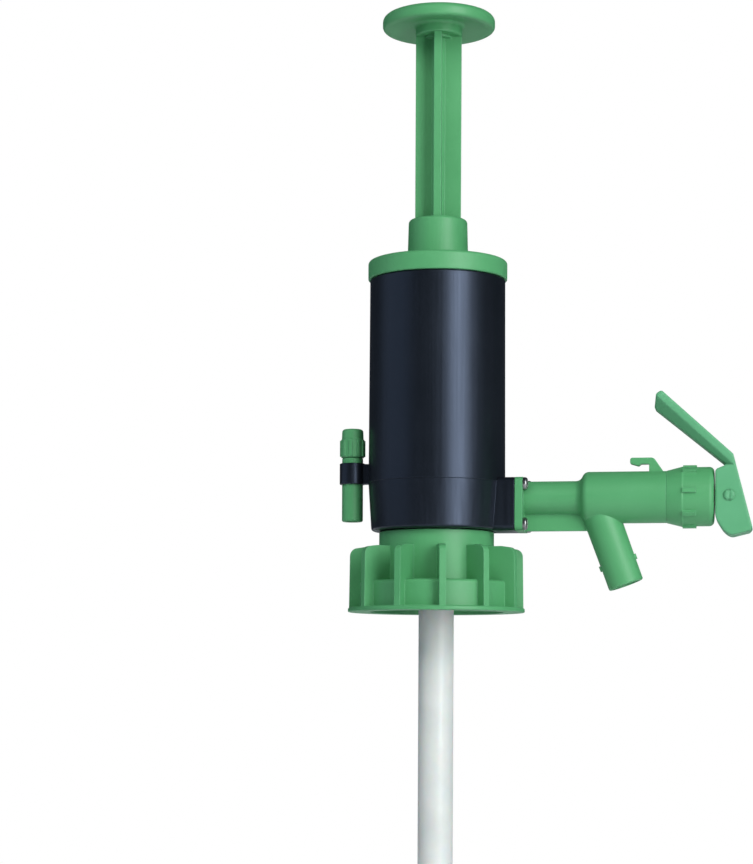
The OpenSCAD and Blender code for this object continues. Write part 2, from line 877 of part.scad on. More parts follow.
module cup_seal() {
  color(rubber)
    rotate_extrude()
      polygon(rounded([
        [cup_screw_core_r + set_fit, cup_z1, 0],
        [cup_screw_core_r + set_fit, cup_z1 - cup_base_t, 0],
        [cup_r - cup_lip_t - 0.6, cup_z1 - cup_base_t, 0.5],
        [cup_r - cup_lip_t, piston_z0, 0],
        [cup_r, piston_z0, 0],
        [cup_r - 0.4, cup_z1, 0.5]
      ]));
}

module piston_screw() {
  top = cup_z1 - cup_base_t;
  color(steel)
    difference() {
      union() {
        translate([0, 0, top - cup_screw_t]) cylinder(r = cup_screw_r, h = cup_screw_t);
        translate([0, 0, top - cut]) cylinder(r = cup_screw_core_r, h = cup_screw_len - cut);
      }
      translate([-cup_screw_r, -screw_slot_w / 2, top - cup_screw_t - cut])
        cube([2 * cup_screw_r, screw_slot_w, cut + cup_screw_t / 2]);
    }
}

// Outlet arm with the valve chamber, spout and hook
module arm_turned() {
  lathe_x()
    polygon(rounded([
      [0, flange_x0 + cut, 0],
      [pipe_r, flange_x0 + cut, 0],
      [pipe_r, pipe_x1, step_fillet],
      [chamber_r, pipe_x1 + step_run, step_round],
      [chamber_r, collar_x0, 0],
      [spigot_r, collar_x0, 0],
      [spigot_r, spigot_x1, 0.4],
      [0, spigot_x1, 0]
    ]));
}

module spout() {
  translate([spout_x, 0, out_z])
    rotate([0, 180 - spout_lean, 0]) {
      rotate_extrude()
        polygon(rounded([
          [0, 0, 0],
          [spout_r + spout_draft, 0, 0],
          [spout_r, ear_at + ear_r + ear_clear, 0],
          [spout_r, spout_len, spout_edge],
          [0, spout_len, 0]
        ]));
      translate([0, 0, ear_at])
        rotate([0, 90, 0])
          cylinder(r = ear_r, h = 2 * (spout_r + ear_h), center = true);
    }
}

module hook() {
  translate([0, 0, out_z])
    side_plate(hook_w)
      polygon(rounded([
        [hook_leg_x, 0, 0],
        [hook_leg_x, hook_under, 0.6],
        [hook_barb_x + 1.2, hook_under, 0],
        [hook_barb_x, hook_under - hook_barb, 0.3],
        [hook_tip_x, hook_under + 0.2, 0.5],
        [hook_tip_x, hook_top, 1],
        [hook_head_x, hook_top, hook_round],
        [hook_foot_x, chamber_r, 0],
        [hook_foot_x, 0, 0]
      ]));
}

module outlet_arm() {
  color(green)
    difference() {
      union() {
        arm_turned();
        translate([flange_x0, 0, boss_z])
          rotate([90, 0, 90])
            linear_extrude(flange_t)
              rounded_square(flange_w, boss_round);
        translate([flange_x0 + cut, -web_t / 2, web_z0])
          cube([web_x1 - flange_x0 - cut, web_t, out_z - web_z0]);
        spout();
        hook();
      }
      along_x(flange_x0 - cut) cylinder(r = pipe_bore_r, h = seat_x - flange_x0 + 2 * cut);
      along_x(seat_x) cylinder(r = chamber_bore_r, h = spigot_x1 - seat_x + cut);
      along_x(flange_x0 - cut) cylinder(r = gasket_r1 + set_fit, h = gasket_recess + cut);
      translate([spout_x, 0, out_z])
        rotate([0, 180 - spout_lean, 0])
          cylinder(r = spout_bore_r, h = spout_len + cut);
      translate([flange_x0 - cut, 0, 0])
        screw_places()
          cylinder(r = screw_d / 2 + 2 * set_fit, h = flange_t + 2 * cut);
    }
}

module flange_gasket() {
  color(rubber)
    along_x(boss_reach) ring(pipe_bore_r + 0.8, gasket_r1, face_gap + gasket_recess);
}

module flange_screw() {
  difference() {
    union() {
      rotate_extrude()
        polygon(rounded([
          [0, 0, 0],
          [screw_head_r, 0, 0],
          [screw_head_r, screw_head_h, 1.2],
          [0, screw_head_h, 0]
        ]));
      translate([0, 0, -flange_t - face_gap - screw_reach])
        cylinder(r = screw_d / 2, h = flange_t + face_gap + screw_reach + cut / 2);
    }
    for (a = [0, 90])
      rotate([0, 0, a])
        translate([-screw_head_r * 0.6, -screw_slot_w / 2, screw_head_h - screw_slot_t])
          cube([screw_head_r * 1.2, screw_slot_w, screw_slot_t + cut]);
  }
}

module flange_screws() {
  color(steel) translate([flange_x1, 0, 0]) screw_places() flange_screw();
}

// Outlet valve
module valve_bonnet() {
  color(black)
    difference() {
      lathe_x()
        polygon(rounded([
          [stem_r + run_fit, collar_x0, 0],
          [chamber_bore_r - set_fit, collar_x0, 0.4],
          [chamber_bore_r - set_fit, spigot_x1, 0],
          [spigot_r, spigot_x1, 0],
          [spigot_r, bonnet_x1, 0.4],
          [stem_r + run_fit, bonnet_x1, 0]
        ]));
      along_x(bonnet_seal_x - seal_groove / 2)
        ring(chamber_bore_r - 2 * set_fit - 2 * o_wire_r, chamber_r, seal_groove);
      along_x(stem_seal_x - seal_groove / 2)
        cylinder(r = stem_r + 2 * o_wire_r + 2 * set_fit, h = seal_groove);
    }
}

module bonnet_o_ring() {
  color(rubber) along_x(bonnet_seal_x) o_ring(chamber_bore_r - set_fit - o_wire_r, o_wire_r);
}

module stem_o_ring() {
  color(rubber) along_x(stem_seal_x) o_ring(stem_r + run_fit + o_wire_r, o_wire_r);
}

module valve_collar() {
  color(green) {
    lathe_x()
      polygon(rounded([
        [spigot_r + set_fit, collar_x0, 0],
        [chamber_r + 0.1, collar_x0, 0.3],
        [vcollar_r + 0.3, collar_x0 + vcollar_cone, 0.4],
        [vcollar_r, collar_x0 + vcollar_cone + 0.4, 0],
        [vcollar_r, vcollar_x1, vcollar_round],
        [stem_hole_r, vcollar_x1, 0.3],
        [stem_hole_r, vcollar_end_x, 0],
        [spring_bore_r, vcollar_end_x, 0],
        [spring_bore_r, bonnet_x1, 0],
        [spigot_r + set_fit, bonnet_x1, 0]
      ]));
    for (i = [0 : vcollar_lugs - 1])
      along_x(collar_x0 + vcollar_cone)
        rotate([0, 0, vcollar_lug_phase + i * 360 / vcollar_lugs])
          translate([vcollar_r - cut, -vcollar_lug_w / 2, 0])
            cube([vcollar_lug_h + cut, vcollar_lug_w, vcollar_lug_len]);
  }
}

module valve_stem() {
  color(natural)
    difference() {
      union() {
        along_x(plug_x0 + plug_len - plug_socket)
          cylinder(r = stem_r, h = pivot_x - plug_x0 - plug_len + plug_socket - tongue_r + cut);
        intersection() {
          translate([pivot_x, 0, out_z])
            side_plate(tongue_t)
              union() {
                circle(tongue_r);
                translate([-tongue_r - cut, -stem_r]) square([tongue_r + cut, 2 * stem_r]);
              }
          along_x(vcollar_x1) cylinder(r = vcollar_r, h = 2 * vcollar_len);
        }
      }
      translate([pivot_x, 0, out_z])
        rotate([90, 0, 0])
          cylinder(r = pin_r + run_fit, h = 2 * tongue_t, center = true);
      along_x(clip_x0) ring(stem_r - 0.5, 2 * stem_r, clip_t);
    }
}

module valve_plug() {
  color(rubber)
    difference() {
      lathe_x()
        polygon(rounded([
          [0, plug_x0, 0],
          [plug_r, plug_x0, 0.5],
          [plug_r, plug_x0 + plug_len - 1, 0.3],
          [stem_r + 1.2, plug_x0 + plug_len, 0.3],
          [0, plug_x0 + plug_len, 0]
        ]));
      along_x(plug_x0 + plug_len - plug_socket) cylinder(r = stem_r + set_fit / 2, h = plug_len);
    }
}

module stem_clip() {
  color(steel) along_x(clip_x0 + set_fit) ring(stem_r - 0.5 + set_fit, clip_r, clip_t - 2 * set_fit);
}

module valve_spring() {
  color(steel)
    along_x(clip_x1) coil(spring_coil_r, spring_wire_r, vcollar_end_x - clip_x1, spring_turns);
}

// Lever and its pin
function lever_outline() = rounded([
  [-lever_heel, lever_heel_low, lever_heel_round],
  [-lever_heel, heel_top, heel_round],
  [arm_root[0], arm_root[1], 0.8],
  [arm_belly[0], arm_belly[1], arm_tip_round],
  [arm_end[0], arm_end[1], arm_tip_round],
  [arm_top[0], arm_top[1], arm_tip_round],
  [lever_bend[0], lever_bend[1], 1.6],
  [lever_back[0], lever_back[1], 1],
  [lever_foot_back[0], lever_foot_back[1], 0.8],
  [lever_foot[0], lever_foot[1], lever_foot_round],
  [lever_toe[0], lever_toe[1], lever_toe_round]
]);

arm_dir = unit(arm_top - lever_bend);
arm_angle = atan2(arm_dir[1], arm_dir[0]);

// Everything under the arm's side faces narrows to a keel
module arm_section() {
  translate([lever_bend[0], 0, lever_bend[1]])
    rotate([0, -arm_angle, 0])
      rotate([90, 0, 90])
        linear_extrude(3 * norm(arm_top - lever_bend), center = true)
          polygon([
            [arm_flare_w / 2, -cut],
            [arm_flare_w / 2, arm_flare_t],
            [arm_keel_w / 2, arm_deep],
            [-arm_keel_w / 2, arm_deep],
            [-arm_flare_w / 2, arm_flare_t],
            [-arm_flare_w / 2, -cut]
          ]);
}

module lever_block() {
  intersection() {
    side_plate(lever_w) polygon(lever_outline());
    union() {
      arm_section();
      translate([-lever_w, -lever_w, -2 * lever_w])
        cube([2 * lever_w, 2 * lever_w, 2 * lever_w + arm_root[1]]);
    }
  }
}

// Room for the collar's end under the pressed lever
function collar_room() = rounded([
  [0, -lever_clear, 0],
  [vcollar_r + lever_clear, -lever_clear, vcollar_round],
  [vcollar_r + lever_clear, 2 * vcollar_len, 0],
  [0, 2 * vcollar_len, 0]
]);

module lever() {
  color(green)
    translate([pivot_x, 0, out_z])
      difference() {
        lever_block();
        rotate([90, 0, 0]) cylinder(r = pin_r + set_fit / 2, h = 2 * lever_w, center = true);
        side_plate(lever_slot_w)
          union() {
            circle(lever_slot_r);
            for (a = [0, lever_swing])
              rotate(-a) translate([-lever_w, -lever_slot_r]) square([lever_w, 2 * lever_slot_r]);
          }
        rotate([0, lever_swing, 0])
          translate([-lever_gap - lever_heel - lever_pull, 0, 0])
            rotate([0, -90, 0])
              rotate_extrude() polygon(collar_room());
      }
}

module lever_pin() {
  color(green)
    translate([pivot_x, -lever_w / 2, out_z])
      rotate([-90, 0, 0])
        difference() {
          union() {
            cylinder(r = pin_r, h = lever_w);
            translate([0, 0, -pin_head_t]) cylinder(r = pin_head_r, h = pin_head_t);
          }
          translate([-screw_slot_w / 2, -2 * pin_r, -pin_head_t - cut])
            cube([screw_slot_w, 4 * pin_r, cut + pin_head_t / 2]);
        }
}

// Relief valve
module relief_body() {
  color(green)
    translate([relief_x, 0, 0])
      difference() {
        rotate_extrude()
          polygon(rounded([
            [0, relief_z0, 0],
            [relief_r, relief_z0, 0.8],
            [relief_r, relief_neck_z, 0.4],
            [relief_spigot_r, relief_neck_z, 0],
            [relief_spigot_r, relief_top_z, 0.4],
            [0, relief_top_z, 0]
          ]));
        translate([0, 0, relief_z0 - cut])
          cylinder(r = relief_out_r, h = relief_seat_z - relief_seat_t - relief_z0 + cut);
        translate([0, 0, relief_z0]) cylinder(r = relief_port_r, h = relief_seat_z - relief_z0 + cut);
        translate([0, 0, relief_seat_z])
          cylinder(r = relief_bore_r, h = relief_top_z - relief_seat_z + cut);
        translate([0, 0, vent_z]) rotate([0, 90, 0]) cylinder(r = vent_r, h = relief_r + cut);
      }
}

module relief_stem() {
  z0 = relief_seat_z + plug_gap + relief_seal_t;
  color(natural)
    translate([relief_x, 0, 0])
      difference() {
        union() {
          translate([0, 0, z0]) cylinder(r = relief_rod_r, h = knob_z0 + knob_roof + knob_pin_h - z0);
          translate([0, 0, relief_guide_z])
            cylinder(r = relief_bore_r - run_fit, h = relief_guide_h);
        }
        translate([0, 0, relief_guide_z + relief_guide_h / 2])
          rotate_extrude()
            translate([relief_bore_r - run_fit - 2 * o_wire_r, -seal_groove / 2])
              square([2 * o_wire_r + cut, seal_groove]);
      }
}

module relief_seal() {
  color(rubber)
    translate([relief_x, 0, relief_seat_z + plug_gap]) cylinder(r = relief_seal_r, h = relief_seal_t);
}

module relief_o_ring() {
  color(rubber)
    translate([relief_x, 0, relief_guide_z + relief_guide_h / 2])
      o_ring(relief_bore_r - run_fit - o_wire_r, o_wire_r);
}

module relief_spring() {
  z0 = relief_guide_z + relief_guide_h;
  color(steel)
    translate([relief_x, 0, z0])
      coil(relief_coil_r, relief_wire_r, knob_z0 + knob_roof - z0, relief_turns);
}

module relief_knob() {
  color(green)
    translate([relief_x, 0, 0])
      difference() {
        union() {
          rotate_extrude()
            polygon(rounded([
              [0, knob_z0, 0],
              [knob_core_r, knob_z0, 0.5],
              [knob_core_r, knob_z0 + knob_flute_h, 0.4],
              [knob_top_r, knob_z0 + knob_flute_h, 0],
              [knob_top_r - 0.2, knob_z1, 1.4],
              [0, knob_z1, 0]
            ]));
          for (i = [0 : knob_flutes - 1])
            rotate([0, 0, (i + 0.5) * 360 / knob_flutes])
              translate([knob_core_r - cut, -knob_flute_w / 2, knob_z0 + knob_flute_inset])
                cube([cut + knob_flute_out, knob_flute_w, knob_flute_h - 2 * knob_flute_inset]);
        }
        translate([0, 0, knob_z0 - cut]) cylinder(r = relief_spigot_r + run_fit, h = knob_roof + cut);
        translate([0, 0, knob_z0])
          cylinder(r = relief_rod_r + run_fit, h = knob_roof + knob_pin_h + 0.3);
      }
}

union_nut();
neck_stub();
neck_gasket();
dip_tube();
dip_tube_seal();
lower_housing();
valve_plate();
plate_o_ring();
check_cage();
check_disc();
check_spring();
pump_cylinder();
cylinder_cap();
plunger_handle();
plunger_rod();
piston_plate();
cup_seal();
piston_screw();
outlet_arm();
flange_gasket();
flange_screws();
valve_bonnet();
bonnet_o_ring();
stem_o_ring();
valve_collar();
valve_stem();
valve_plug();
stem_clip();
valve_spring();
lever();
lever_pin();
relief_body();
relief_stem();
relief_seal();
relief_o_ring();
relief_spring();
relief_knob();
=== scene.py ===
"""Looks of the hand pressure pump: moulded plastics, springs, studio light and the camera."""

import json
import math

import bpy
from mathutils import Matrix, Vector


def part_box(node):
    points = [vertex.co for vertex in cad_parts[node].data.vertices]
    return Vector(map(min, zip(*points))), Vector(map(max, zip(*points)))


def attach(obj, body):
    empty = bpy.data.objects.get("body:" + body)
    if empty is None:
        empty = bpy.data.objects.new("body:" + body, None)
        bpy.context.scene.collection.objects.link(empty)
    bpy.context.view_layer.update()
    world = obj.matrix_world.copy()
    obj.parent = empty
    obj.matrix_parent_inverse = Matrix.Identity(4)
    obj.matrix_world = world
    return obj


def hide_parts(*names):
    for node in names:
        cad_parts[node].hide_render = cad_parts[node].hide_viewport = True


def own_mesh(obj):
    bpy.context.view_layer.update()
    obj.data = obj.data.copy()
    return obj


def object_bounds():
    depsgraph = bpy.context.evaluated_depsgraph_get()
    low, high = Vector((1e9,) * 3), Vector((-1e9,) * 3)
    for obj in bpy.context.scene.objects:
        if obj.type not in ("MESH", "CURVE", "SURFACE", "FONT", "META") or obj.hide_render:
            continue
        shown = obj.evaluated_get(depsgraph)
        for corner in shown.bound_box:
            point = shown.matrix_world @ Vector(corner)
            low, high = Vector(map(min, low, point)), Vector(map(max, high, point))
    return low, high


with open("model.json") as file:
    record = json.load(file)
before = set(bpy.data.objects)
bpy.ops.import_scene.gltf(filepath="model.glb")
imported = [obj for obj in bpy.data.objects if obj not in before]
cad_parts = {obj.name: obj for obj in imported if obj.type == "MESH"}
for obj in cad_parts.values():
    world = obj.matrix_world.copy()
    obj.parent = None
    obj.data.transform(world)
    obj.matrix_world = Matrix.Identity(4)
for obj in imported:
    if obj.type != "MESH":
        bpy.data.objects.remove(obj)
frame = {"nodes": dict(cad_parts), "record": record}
cad_low, cad_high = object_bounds()
NODES = frame["nodes"]
MM = 0.001

# Camera of the photograph: level, a little right of the outlet arm's square view
FRAME_H = 864
FOCAL_PX = 2256.0
SENSOR = 36.0
CLIP_NEAR, CLIP_FAR = 0.05, 60.0
CAMERA_AT = Vector((0.15026, -1.01597, -0.04275))
CAMERA_TURN = math.radians(9.92)
CAMERA_ROLL = math.radians(0.27)
RISE_PX = 255.68


def make_camera():
    """Places the camera; returns the level direction ahead and the one to its right."""
    data = bpy.data.cameras.new("camera")
    data.sensor_width = SENSOR
    data.lens = FOCAL_PX * SENSOR / FRAME_H
    data.shift_y = RISE_PX / FRAME_H
    data.clip_start, data.clip_end = CLIP_NEAR, CLIP_FAR
    camera = bpy.data.objects.new("camera", data)
    bpy.context.scene.collection.objects.link(camera)
    ahead = Vector((-math.sin(CAMERA_TURN), math.cos(CAMERA_TURN), 0.0))
    right = Vector((math.cos(CAMERA_TURN), math.sin(CAMERA_TURN), 0.0))
    up = Vector((0.0, 0.0, 1.0))
    c, s = math.cos(CAMERA_ROLL), math.sin(CAMERA_ROLL)
    right, up = right * c + up * s, up * c - right * s
    turn = Matrix((right, up, -ahead)).transposed()
    camera.matrix_world = Matrix.Translation(CAMERA_AT) @ turn.to_4x4()
    bpy.context.scene.camera = camera
    return ahead, right


AHEAD, RIGHT = make_camera()

# Sockets of the Mix node when it mixes colours
MIX_A, MIX_B, MIX_RESULT = 6, 7, 2


class Tree:
    """A material's node tree."""

    def __init__(self, name):
        self.material = bpy.data.materials.new(name)
        self.material.use_nodes = True
        self.nodes = self.material.node_tree.nodes
        self.links = self.material.node_tree.links
        self.shader = self.nodes["Principled BSDF"]

    def add(self, kind, links=None, **values):
        node = self.nodes.new(kind)
        for name, value in values.items():
            setattr(node, name, value)
        for socket, value in (links or {}).items():
            self.put(node.inputs[socket], value)
        return node

    def put(self, socket, value):
        if isinstance(value, bpy.types.NodeSocket):
            self.links.new(value, socket)
        else:
            socket.default_value = value

    def place(self, stretch=(1.0, 1.0, 1.0)):
        coordinates = self.add("ShaderNodeTexCoord")
        return self.add(
            "ShaderNodeMapping", {"Vector": coordinates.outputs["Object"], "Scale": stretch}
        ).outputs["Vector"]

    def noise(self, scale, detail=3.0, rough=0.55, stretch=(1.0, 1.0, 1.0)):
        return self.add(
            "ShaderNodeTexNoise",
            {"Vector": self.place(stretch), "Scale": scale, "Detail": detail, "Roughness": rough},
        ).outputs["Fac"]

    def spread(self, value, low, high, from_low=0.3, from_high=0.7):
        return self.add(
            "ShaderNodeMapRange",
            {
                "Value": value,
                "From Min": from_low,
                "From Max": from_high,
                "To Min": low,
                "To Max": high,
            },
        ).outputs["Result"]

    def tint(self, factor, a, b):
        node = self.add("ShaderNodeMix", data_type="RGBA")
        self.put(node.inputs["Factor"], factor)
        self.put(node.inputs[MIX_A], a)
        self.put(node.inputs[MIX_B], b)
        return node.outputs[MIX_RESULT]

    def mottle(self, cloud, a, b):
        return self.tint(self.spread(cloud, low=0.0, high=1.0), a, b)

    def sum(self, a, b, share):
        return self.add(
            "ShaderNodeMath", {0: b, 1: share, 2: a}, operation="MULTIPLY_ADD"
        ).outputs[0]

    def product(self, a, b):
        return self.add("ShaderNodeMath", {0: a, 1: b}, operation="MULTIPLY").outputs[0]

    def bump(self, height, distance, strength, normal=None):
        node = self.add(
            "ShaderNodeBump", {"Height": height, "Distance": distance, "Strength": strength}
        )
        if normal is not None:
            self.put(node.inputs["Normal"], normal)
        return node.outputs["Normal"]

    def set(self, **values):
        for name, value in values.items():
            self.put(self.shader.inputs[name.replace("_", " ")], value)


def rgba(r, g, b):
    return (r, g, b, 1.0)


# Dot product of the soft and the hard normal: full painted edge highlight at the first, none at
# the second
SHEEN_FULL_DOT, SHEEN_NONE_DOT = 0.86, 0.995


def edges(tree, radius, samples=4):
    """The normal with softened edges, and a mask that is bright along the edges for a painted
    edge highlight.
    """
    soft = tree.add("ShaderNodeBevel", {"Radius": radius}, samples=samples)
    hard = tree.add("ShaderNodeNewGeometry")
    along = tree.add(
        "ShaderNodeVectorMath",
        {0: soft.outputs["Normal"], 1: hard.outputs["Normal"]},
        operation="DOT_PRODUCT",
    )
    edge_sheen = tree.spread(
        along.outputs["Value"], low=1.0, high=0.0, from_low=SHEEN_FULL_DOT, from_high=SHEEN_NONE_DOT
    )
    return soft.outputs["Normal"], edge_sheen


GREEN_FLECK = rgba(0.115, 0.385, 0.175)
# Lighter green painted along the edges: a painted edge highlight
GREEN_EDGE_SHEEN = rgba(0.150, 0.450, 0.240)
GREEN_SHEEN_SHARE = 0.45


def green_plastic(name, dark, light, rounding):
    t = Tree(name)
    soft, _ = edges(t, rounding, samples=8)
    _, edge_sheen = edges(t, 0.5 * MM)
    cloud = t.noise(scale=38.0, detail=4.0)
    grain = t.noise(scale=1500.0, detail=2.0)
    fleck = t.noise(scale=420.0, detail=5.0, rough=0.7)
    body = t.mottle(cloud, dark, light)
    flecks = t.spread(fleck, low=0.0, high=0.35, from_low=0.55, from_high=0.75)
    body = t.tint(flecks, body, GREEN_FLECK)
    # The base colour is lightened along the edges: a painted edge highlight
    t.set(Base_Color=t.tint(t.sum(0.0, edge_sheen, GREEN_SHEEN_SHARE), body, GREEN_EDGE_SHEEN))
    matt = t.sum(cloud, grain, share=0.5)
    t.set(Roughness=t.spread(matt, low=0.40, high=0.52, from_low=0.5, from_high=1.0))
    ripple = t.noise(scale=230.0, detail=2.0)
    skin = t.bump(ripple, distance=0.06 * MM, strength=0.5, normal=soft)
    t.set(Normal=t.bump(grain, distance=0.03 * MM, strength=0.5, normal=skin))
    t.set(IOR=1.49, Specular_IOR_Level=0.5)
    return t.material


BLACK_DARK = rgba(0.0040, 0.0052, 0.0070)
BLACK_LIGHT = rgba(0.0062, 0.0078, 0.0102)
# Lighter grey painted along the edges: a painted edge highlight
BLACK_EDGE_SHEEN = rgba(0.016, 0.019, 0.024)
BLACK_SHEEN_SHARE = 0.4
BLACK_GLOSS = rgba(0.58, 0.71, 1.0)


def black_plastic():
    t = Tree("black_plastic")
    soft, edge_sheen = edges(t, 0.4 * MM)
    cloud = t.noise(scale=30.0, detail=4.0)
    drawn = t.noise(scale=900.0, detail=3.0, rough=0.6, stretch=(1.0, 1.0, 0.012))
    grain = t.noise(scale=1700.0, detail=2.0)
    body = t.mottle(cloud, BLACK_DARK, BLACK_LIGHT)
    # The base colour is lightened along the edges: a painted edge highlight
    t.set(Base_Color=t.tint(t.sum(0.0, edge_sheen, BLACK_SHEEN_SHARE), body, BLACK_EDGE_SHEEN))
    matt = t.sum(drawn, cloud, share=0.4)
    t.set(Roughness=t.spread(matt, low=0.33, high=0.43, from_low=0.5, from_high=0.9))
    lines = t.bump(drawn, distance=0.02 * MM, strength=0.35, normal=soft)
    t.set(Normal=t.bump(grain, distance=0.02 * MM, strength=0.35, normal=lines))
    t.set(IOR=1.55, Specular_IOR_Level=0.68, Specular_Tint=BLACK_GLOSS)
    return t.material


def natural_plastic():
    t = Tree("natural_plastic")
    cloud = t.noise(scale=45.0, detail=4.0)
    drawn = t.noise(scale=700.0, detail=2.0, rough=0.5, stretch=(1.0, 1.0, 0.01))
    t.set(Base_Color=t.mottle(cloud, rgba(0.66, 0.69, 0.66), rgba(0.76, 0.78, 0.75)))
    t.set(Roughness=t.spread(drawn, low=0.34, high=0.50))
    t.set(Normal=t.bump(drawn, distance=0.03 * MM, strength=0.4))
    t.set(Subsurface_Weight=0.25, Subsurface_Scale=0.003, IOR=1.51)
    return t.material


def rubber():
    t = Tree("rubber")
    cloud = t.noise(scale=60.0, detail=4.0)
    grain = t.noise(scale=1400.0, detail=3.0)
    t.set(Base_Color=t.mottle(cloud, rgba(0.010, 0.010, 0.010), rgba(0.020, 0.020, 0.021)))
    t.set(Roughness=t.spread(grain, low=0.62, high=0.82))
    t.set(Normal=t.bump(grain, distance=0.04 * MM, strength=0.6))
    return t.material


def steel():
    t = Tree("steel")
    cloud = t.noise(scale=160.0, detail=4.0)
    brushed = t.noise(scale=1200.0, detail=3.0, rough=0.6, stretch=(0.05, 1.0, 1.0))
    t.set(Base_Color=t.mottle(cloud, rgba(0.27, 0.265, 0.27), rgba(0.38, 0.375, 0.38)))
    t.set(Roughness=t.spread(brushed, low=0.28, high=0.42))
    t.set(Normal=t.bump(brushed, distance=0.01 * MM, strength=0.4))
    t.set(Metallic=1.0)
    return t.material


FINISHES = {
    "green_plastic": green_plastic(
        "green_plastic",
        dark=rgba(0.080, 0.335, 0.130),
        light=rgba(0.094, 0.368, 0.148),
        rounding=0.5 * MM,
    ),
    "black_plastic": black_plastic(),
    "natural_plastic": natural_plastic(),
    "rubber": rubber(),
    "steel": steel(),
}
# The lever and its pin are a paler, bluer green as a painted sheen, with softer edges
SHEEN_LIT_GREEN = green_plastic(
    "sheen_lit_green_plastic",
    dark=rgba(0.103, 0.375, 0.178),
    light=rgba(0.117, 0.408, 0.200),
    rounding=1.7 * MM,
)
SHEEN_LIT_PARTS = ("lever", "lever_pin")
for part in frame["record"]["subparts"]:
    node = NODES[part["node"]]
    # The lever and its pin take the paler green: a painted sheen
    finish = SHEEN_LIT_GREEN if part["node"] in SHEEN_LIT_PARTS else FINISHES[part["material_slot"]]
    for slot in node.material_slots:
        slot.material = finish

# Moulded edges, width in mm: faces are welded, flat ones joined, and their edges rounded
ROUNDINGS = {
    "union_nut": 0.55,
    "plunger_rod": 0.45,
    "lever": 1.1,
    "outlet_arm": 0.35,
    "lower_housing": 0.3,
    "cylinder_cap": 0.25,
    "plunger_handle": 0.25,
    "valve_collar": 0.3,
    "relief_knob": 0.25,
    "relief_body": 0.2,
    "lever_pin": 0.12,
    "flange_screws": 0.12,
}
WELD_WITHIN = 0.002 * MM
FLAT_WITHIN = math.radians(0.6)
EDGE_FROM = math.radians(32)
EDGE_SEGMENTS = 3
NORMAL_WEIGHT = 60


def soften(name, width):
    o = NODES[name]
    weld = o.modifiers.new("weld", "WELD")
    weld.merge_threshold = WELD_WITHIN
    flat = o.modifiers.new("flat", "DECIMATE")
    flat.decimate_type = "DISSOLVE"
    flat.angle_limit = FLAT_WITHIN
    bevel = o.modifiers.new("bevel", "BEVEL")
    bevel.width = width * MM
    bevel.segments = EDGE_SEGMENTS
    bevel.limit_method = "ANGLE"
    bevel.angle_limit = EDGE_FROM
    bevel.use_clamp_overlap = True
    bevel.miter_outer = "MITER_ARC"
    normals = o.modifiers.new("normals", "WEIGHTED_NORMAL")
    normals.keep_sharp = False
    normals.weight = NORMAL_WEIGHT


for name, width in ROUNDINGS.items():
    soften(name, width)

# Springs: coils in the CAD springs' places, carried by the pump body
COIL_STEPS = 48
WIRE_SIDES = 12


def coil_mesh(name, start, along, length, coil_r, wire_r, turns):
    """A round wire wound about the axis that leaves start in the direction along."""
    side = Vector((0.0, 1.0, 0.0))
    across = along.cross(side)
    rise = length - 2.0 * wire_r
    rings = int(turns * COIL_STEPS) + 1
    points, faces = [], []
    for i in range(rings):
        a = 2.0 * math.pi * i / COIL_STEPS
        out = side * math.cos(a) + across * math.sin(a)
        ahead = across * math.cos(a) - side * math.sin(a)
        ahead = (ahead * coil_r + along * (rise / (2.0 * math.pi * turns))).normalized()
        up = ahead.cross(out)
        middle = start + along * (wire_r + rise * i / (rings - 1)) + out * coil_r
        for k in range(WIRE_SIDES):
            b = 2.0 * math.pi * k / WIRE_SIDES
            points.append(middle + (out * math.cos(b) + up * math.sin(b)) * wire_r)
    for i in range(rings - 1):
        for k in range(WIRE_SIDES):
            m, n = i * WIRE_SIDES + k, i * WIRE_SIDES + (k + 1) % WIRE_SIDES
            faces.append((m, n, n + WIRE_SIDES, m + WIRE_SIDES))
    last = (rings - 1) * WIRE_SIDES
    faces.append(tuple(reversed(range(WIRE_SIDES))))
    faces.append(tuple(range(last, last + WIRE_SIDES)))
    mesh = bpy.data.meshes.new(name)
    mesh.from_pydata(points, [], faces)
    for face in mesh.polygons:
        face.use_smooth = len(face.vertices) == 4
    return mesh


def make_spring(node, along, coil_r, wire_r, turns):
    """A coil in a CAD spring's place; coil_r and wire_r are in mm."""
    low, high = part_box(node)
    along = Vector(along)
    middle = (low + high) / 2.0
    length = (high - low).dot(along)
    start = middle - along * (length / 2.0)
    name = node + "_coil"
    mesh = coil_mesh(name, start, along, length, coil_r * MM, wire_r * MM, turns)
    mesh.materials.append(FINISHES["steel"])
    spring = bpy.data.objects.new(name, mesh)
    bpy.context.scene.collection.objects.link(spring)
    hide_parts(node)
    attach(spring, "pump_body")
    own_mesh(spring)


make_spring(
    "valve_spring",
    along=(1, 0, 0),
    coil_r=4.6,
    wire_r=0.4,
    turns=2.5,
)
make_spring(
    "check_spring",
    along=(0, 0, 1),
    coil_r=3.2,
    wire_r=0.3,
    turns=3.0,
)

# Floor: a pale disc under the dip tube's end, which fades to the white of the background
FLOOR_RADIUS = 1.9
FLOOR_RINGS, FLOOR_STEPS = 24, 96
FLOOR_GAP = 0.5 * MM
FLOOR_DARK, FLOOR_LIGHT = rgba(0.74, 0.75, 0.76), rgba(0.78, 0.79, 0.80)
GLOW_COLOUR = rgba(0.97, 0.98, 1.0)
GLOW_NEAR, GLOW_FAR = 0.3, 1.0
FADE_FROM, FADE_TO = 0.35 * FLOOR_RADIUS, 0.95 * FLOOR_RADIUS


